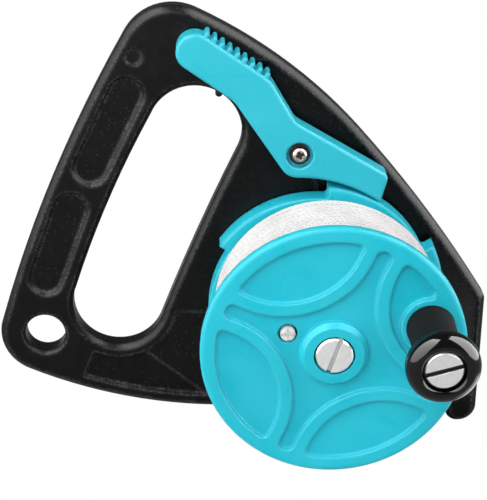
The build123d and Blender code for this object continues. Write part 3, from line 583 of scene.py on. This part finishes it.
def outer_layer(bm):
    wind_layer(bm, wind_r, wind_start, wind_pitch, wind_turns, 1, (3.7, 1.3), 0.06)


wound_line = plain_object("wound_line", outer_layer, smooth_below=80)
print("outer layer:", len(wound_line.data.polygons), "faces, pitch", round(wind_pitch / MM, 3), "mm")

# %% [markdown]
# Between the outer turns the eye sees the layer below, wound the other way, so that is made too,
# one line's thickness deeper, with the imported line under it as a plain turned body.

# %% Layer below and packed line
def under_layer(bm):
    wind_layer(bm, wind_r - 0.95 * line_d, wind_start, wind_pitch, wind_turns, -1, (8.2, 4.4), 0.06)
    packed_r = wind_r - 1.3 * line_d
    near, far = drum_front + 0.05 * MM, drum_back - 0.05 * MM
    corners = [bm.verts.new(c) for c in ((barrel_r + 0.05 * MM, near, 0), (packed_r, near, 0),
                                         (packed_r, far, 0), (barrel_r + 0.05 * MM, far, 0))]
    edges = [bm.edges.new((a, b)) for a, b in zip(corners, corners[1:] + corners[:1])]
    bmesh.ops.spin(bm, geom=corners + edges, cent=(0, 0, 0), axis=(0, 1, 0), angle=tau,
                   steps=steps_per_turn, use_merge=True)
    bmesh.ops.recalc_face_normals(bm, faces=bm.faces)


wound_under = plain_object("wound_under", under_layer, smooth_below=80)
print("layer below:", len(wound_under.data.polygons), "faces")

# %% [markdown]
# The line is a hollow braid. Its strands run round it in two opposite screws, so on the map that
# goes with the line two slanting waves cross, and where either is high a strand lies on top. The
# strands aren't pulled evenly, so noise shifts the waves. The colour is a warm white with painted
# shade: darker in the grooves between the strands, and on the flanks, where the turns lie against
# each other, more in some places than in others. The sheen is the dull one of fibre.

# %% Effect: braid
braid_group, braid_in, braid_out = new_group(
    "braid", [("Coordinates", "NodeSocketVector", None), ("Strand Step", "NodeSocketFloat", 1.1),
              ("Strands", "NodeSocketFloat", 3.0)],
    [("Height", "NodeSocketFloat"), ("Strand Gap Shade", "NodeSocketFloat"), ("Flank Shade", "NodeSocketFloat")])
braid_at = add_node(braid_group, "ShaderNodeSeparateXYZ", {0: braid_in.outputs["Coordinates"]})
along, round_it = braid_at.outputs["X"], braid_at.outputs["Y"]
uneven = add_node(braid_group, "ShaderNodeTexNoise", {
    "Vector": braid_in.outputs["Coordinates"], "Scale": 0.75, "Detail": 4.0, "Roughness": 0.75})
shift = ramp_node(braid_group, uneven.outputs["Fac"], 0.2, 0.8, -0.9, 0.9)
run = math_node(braid_group, "ADD", shift,
                math_node(braid_group, "DIVIDE", along, braid_in.outputs["Strand Step"]))
turn = math_node(braid_group, "MULTIPLY", round_it, braid_in.outputs["Strands"])
screw_a = math_node(braid_group, "SINE", math_node(
    braid_group, "MULTIPLY", math_node(braid_group, "ADD", run, turn), tau))
screw_b = math_node(braid_group, "SINE", math_node(
    braid_group, "MULTIPLY", math_node(braid_group, "SUBTRACT", run, turn), tau))
strand_top = math_node(braid_group, "MAXIMUM", screw_a, screw_b)
# Painted shade on the flanks: where the line's surface turns from outward towards its neighbours.
outward = math_node(braid_group, "COSINE", math_node(braid_group, "MULTIPLY", round_it, tau))
flank_shade = ramp_node(braid_group, outward, 0.75, 0.0)
braid_group.links.new(ramp_node(braid_group, strand_top, -1.0, 1.0), braid_out.inputs["Height"])
braid_group.links.new(ramp_node(braid_group, strand_top, 0.2, -0.7), braid_out.inputs["Strand Gap Shade"])
braid_group.links.new(flank_shade, braid_out.inputs["Flank Shade"])
print("effect:", braid_group.name, [s.name for s in braid_group.interface.items_tree])

# %% Line material
line_fibre = bpy.data.materials.new("line_white")
line_fibre.use_nodes = True
tree = line_fibre.node_tree
shader = tree.nodes["Principled BSDF"]
weave = add_node(tree, "ShaderNodeGroup", node_tree=braid_group)
tree.links.new(add_node(tree, "ShaderNodeUVMap", uv_map="braid").outputs["UV"], weave.inputs["Coordinates"])
weave.inputs["Strand Step"].default_value = 1.6
soil = add_node(tree, "ShaderNodeTexNoise", {
    "Vector": add_node(tree, "ShaderNodeTexCoord").outputs["Object"], "Scale": 90.0, "Detail": 5.0,
    "Roughness": 0.7})
aged = colour_mix(tree, ramp_node(tree, soil.outputs["Fac"], 0.42, 0.66), (0.70, 0.685, 0.68, 1),
                  (0.60, 0.58, 0.57, 1))
# Painted shade: darker between the strands, and, in patches, on the flanks of the turns.
strand_gap_shade = math_node(tree, "MULTIPLY", weave.outputs["Strand Gap Shade"], 0.7)
shaded_weave = colour_mix(tree, strand_gap_shade, aged, (0.30, 0.30, 0.305, 1))
edge_and_flank_tone = add_node(tree, "ShaderNodeTexNoise", {
    "Vector": add_node(tree, "ShaderNodeUVMap", uv_map="braid").outputs["UV"], "Scale": 0.045, "Detail": 3.0,
    "Roughness": 0.6})
flank_shade_patches = ramp_node(tree, edge_and_flank_tone.outputs["Fac"], 0.42, 0.62, 0.35, 1.0)
tree.links.new(colour_mix(tree, math_node(tree, "MULTIPLY", weave.outputs["Flank Shade"], flank_shade_patches), shaded_weave,
                          (0.27, 0.265, 0.265, 1)), shader.inputs["Base Color"])
tree.links.new(ramp_node(tree, weave.outputs["Height"], 0.0, 1.0, 0.95, 0.75), shader.inputs["Roughness"])
shader.inputs["Specular IOR Level"].default_value = 0.2
bump = add_node(tree, "ShaderNodeBump", {"Strength": 0.8, "Distance": 0.16 * MM,
                                         "Height": weave.outputs["Height"]})
tree.links.new(bump.outputs["Normal"], shader.inputs["Normal"])
for piece in (wound_line, wound_under):
    piece.data.materials.append(line_fibre)
print("line material nodes:", len(tree.nodes))

# %% [markdown]
# ## The knot
# The inner end of the line comes up through a hole in the flange and is knotted there, so that it
# can't pull back through. What shows in the hole is one round of line with the cut end in its
# middle. A round is a circle spun about the hole's axis, and there is one at each end of the hole.
# The cut end is a circle drawn out and crowned by two smaller steps.

# %% Knot
anchor_at = (-14.5, 6.4)
knot_back, knot_front = -51.8 * MM, -55.2 * MM
# The cut end's steps: the share of the knot's length that each one adds, and how far it narrows
knot_steps = ((0.88, 1.0), (0.08, 0.82), (0.03, 0.5))


def knot_mesh(bm):
    cx, cz = anchor_at[0] * MM, anchor_at[1] * MM
    round_r = 1.55 * MM
    rope_r = 0.84 * MM
    for at_y in (knot_back - rope_r, knot_front + rope_r):
        hoop = bmesh.ops.create_circle(bm, cap_ends=False, segments=12, radius=rope_r)["verts"]
        bmesh.ops.translate(bm, verts=hoop, vec=(cx + round_r, at_y, cz))
        hoop_edges = list({e for v in hoop for e in v.link_edges})
        bmesh.ops.spin(bm, geom=hoop + hoop_edges, cent=(cx, at_y, cz), axis=(0, 1, 0), angle=tau, steps=32,
                       use_merge=True)
    end = bmesh.ops.create_circle(bm, cap_ends=True, segments=16, radius=rope_r)
    bmesh.ops.rotate(bm, verts=end["verts"], cent=(0, 0, 0), matrix=Matrix.Rotation(radians(90), 3, "X"))
    bmesh.ops.translate(bm, verts=end["verts"], vec=(cx, knot_back, cz))
    cap = list({f for v in end["verts"] for f in v.link_faces})
    centre = Matrix.Translation((-cx, 0, -cz))
    for share, narrowing in knot_steps:
        grown = bmesh.ops.extrude_face_region(bm, geom=cap)["geom"]
        verts = [g for g in grown if isinstance(g, bmesh.types.BMVert)]
        cap = [g for g in grown if isinstance(g, bmesh.types.BMFace)]
        bmesh.ops.translate(bm, verts=verts, vec=(0, (knot_front - knot_back) * share, 0))
        bmesh.ops.scale(bm, verts=verts, vec=(narrowing, 1, narrowing), space=centre)
    bmesh.ops.remove_doubles(bm, verts=bm.verts, dist=0.001 * MM)
    bmesh.ops.recalc_face_normals(bm, faces=bm.faces)
    braid_map = bm.loops.layers.uv.new("braid")
    for face in bm.faces:
        for loop in face.loops:
            dx, dz = loop.vert.co.x - cx, loop.vert.co.z - cz
            loop[braid_map].uv = (hypot(dx, dz) / MM + loop.vert.co.y / MM, 0.1 * sin(2 * atan2(dz, dx)))


line_end = plain_object("line_end", knot_mesh, smooth_below=80)
line_end.data.materials.append(line_fibre)
print("knot:", len(line_end.data.polygons), "faces")

# %% [markdown]
# ## The knob
# The knob is a turned one: a shank that flares at both ends, and a round head with a deep seat
# for its screw. A turned thing is half a profile spun round its axis. The profile follows the
# CAD knob's sizes with more points, and its two big corners are rounded by a bevel on their
# vertices before the spin, so the head is a smooth ring where the CAD knob has short tapers. Only
# the head's front is polished: the shank and the rounding behind the head have the dull plastic.

# %% Knob
knob_base, knob_front = -55.8 * MM, -86.6 * MM
head_back = knob_front + 7.8 * MM
shank_mid = (knob_base + head_back) / 2
back_round, front_round = 3.2 * MM, 3.9 * MM
polished_back = head_back - 3.0 * MM


def knob_mesh(bm):
    cx, cz = knob_at[0] * MM, knob_at[1] * MM
    flare = 8
    base_r, waist_r, neck_r, head_r = 7.7, 7.35, 8.0, 11.3
    bore_r, seat_r, seat_rim_r = 3.68 * MM, 6.7 * MM, 7.3 * MM
    seat_lip, seat_floor = knob_front + 0.5 * MM, knob_front + 4.7 * MM
    points = [(bore_r, knob_base)]
    points += [((waist_r + (base_r - waist_r) * (1 - k / flare) ** 2) * MM,
                knob_base + (shank_mid - knob_base) * k / flare) for k in range(flare)]
    points += [((waist_r + (neck_r - waist_r) * (k / flare) ** 2) * MM,
                shank_mid + (head_back - shank_mid) * k / flare) for k in range(flare + 1)]
    points += [(head_r * MM, head_back), (head_r * MM, knob_front), (seat_rim_r, knob_front),
               (seat_r, seat_lip), (seat_r, seat_floor), (bore_r, seat_floor)]
    verts = [bm.verts.new((cx + r, y, cz)) for r, y in points]
    for a, b in zip(verts, verts[1:] + verts[:1]):
        bm.edges.new((a, b))
    back_corner, front_corner = verts[-6], verts[-5]
    for corner, size in ((back_corner, back_round), (front_corner, front_round)):
        bmesh.ops.bevel(bm, geom=[corner], offset=size, offset_type="OFFSET", segments=12, profile=0.5,
                        affect="VERTICES", material=-1)
    bmesh.ops.spin(bm, geom=bm.verts[:] + bm.edges[:], cent=(cx, 0, cz), axis=(0, 1, 0), angle=tau,
                   steps=96, use_merge=True)
    bmesh.ops.remove_doubles(bm, verts=bm.verts, dist=0.001 * MM)
    bmesh.ops.recalc_face_normals(bm, faces=bm.faces)


knob_turned = plain_object("knob_turned", knob_mesh, smooth_below=40)
knob_turned.data.materials.append(knob_plastic)
knob_turned.data.materials.append(shank_plastic)
for face in knob_turned.data.polygons:
    face.material_index = 1 if face.center.y > polished_back else 0
print("knob:", len(knob_turned.data.polygons), "faces")

# %% [markdown]
# ## The lever's screw
# The lever hangs on a small pan-head screw with a cross recess. A boolean could cut the cross, but
# it leaves untidy faces. Here the outline of the cross is laid out a quarter at a time and joined to
# the round rim of the head by bridging. Its floor is then sunk with a taper, and the rest of the
# head and the shank are rings drawn down from the rim.

# %% Lever screw
screw_top = -17.1 * MM
cross_turn = radians(18)
crown_r, recess_h, recess_taper = 1.7 * MM, 1.0 * MM, 0.62
# Rings from the head's crown down to the shank's end: radius and depth in millimetres
turned_rings = ((2.15, 0.22), (2.45, 0.55), (2.6, 1.0), (2.6, 1.7), (1.6, 1.7), (1.6, 14.1))


def cross_screw_mesh(bm):
    cx, cz = pivot_at[0] * MM, pivot_at[1] * MM
    arm, core = 1.45 * MM, 0.48 * MM
    rim = bmesh.ops.create_circle(bm, cap_ends=False, segments=48, radius=crown_r)["verts"]
    rim_edges = list({e for v in rim for e in v.link_edges})
    outline = []
    for quarter in range(4):
        c, s = round(cos(quarter * pi / 2)), round(sin(quarter * pi / 2))
        for x, y in ((arm, -core), (arm, core), (core * 1.25, core * 1.25)):
            outline.append(bm.verts.new((c * x - s * y, s * x + c * y, 0)))
    cross_edges = [bm.edges.new((a, b)) for a, b in zip(outline, outline[1:] + outline[:1])]
    bmesh.ops.bridge_loops(bm, edges=rim_edges + cross_edges)
    floor_face = bm.faces.new(outline)
    sunk = bmesh.ops.extrude_face_region(bm, geom=[floor_face])["geom"]
    sunk_verts = [g for g in sunk if isinstance(g, bmesh.types.BMVert)]
    bmesh.ops.translate(bm, verts=sunk_verts, vec=(0, 0, -recess_h))
    bmesh.ops.scale(bm, verts=sunk_verts, vec=(recess_taper, recess_taper, 1))
    if floor_face.is_valid:
        bmesh.ops.delete(bm, geom=[floor_face], context="FACES_ONLY")
    loop_edges = rim_edges
    for radius, down in turned_rings:
        grown = bmesh.ops.extrude_edge_only(bm, edges=loop_edges)["geom"]
        verts = [g for g in grown if isinstance(g, bmesh.types.BMVert)]
        loop_edges = [g for g in grown if isinstance(g, bmesh.types.BMEdge) and g.is_boundary]
        for v in verts:
            flat = Vector((v.co.x, v.co.y)).normalized() * radius * MM
            v.co = (flat.x, flat.y, -down * MM)
    bmesh.ops.holes_fill(bm, edges=loop_edges, sides=0)
    bmesh.ops.rotate(bm, verts=bm.verts, cent=(0, 0, 0), matrix=Matrix.Rotation(cross_turn, 3, "Z"))
    bmesh.ops.rotate(bm, verts=bm.verts, cent=(0, 0, 0), matrix=Matrix.Rotation(radians(90), 3, "X"))
    bmesh.ops.translate(bm, verts=bm.verts, vec=(cx, screw_top, cz))
    bmesh.ops.recalc_face_normals(bm, faces=bm.faces)


cross_screw = plain_object("cross_screw", cross_screw_mesh, smooth_below=35)
cross_screw.data.materials.append(lever_steel)
print("cross-head screw:", len(cross_screw.data.polygons), "faces")

# %% [markdown]
# ## New pieces on their bodies
# Each new piece is attached to the body it moves with, and the CAD node it stands for is hidden.

# %% Close
for piece, body, slot_name, stands_for in (
        (wound_line, "spool", "line_white", "line_turns"), (wound_under, "spool", "line_white", "line_core"),
        (line_end, "spool", "line_white", "line_knot"), (knob_turned, "knob", "knob_black", "knob"),
        (cross_screw, "frame", "screw_steel", "lever_screw")):
    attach(piece, body)
    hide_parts(stands_for)
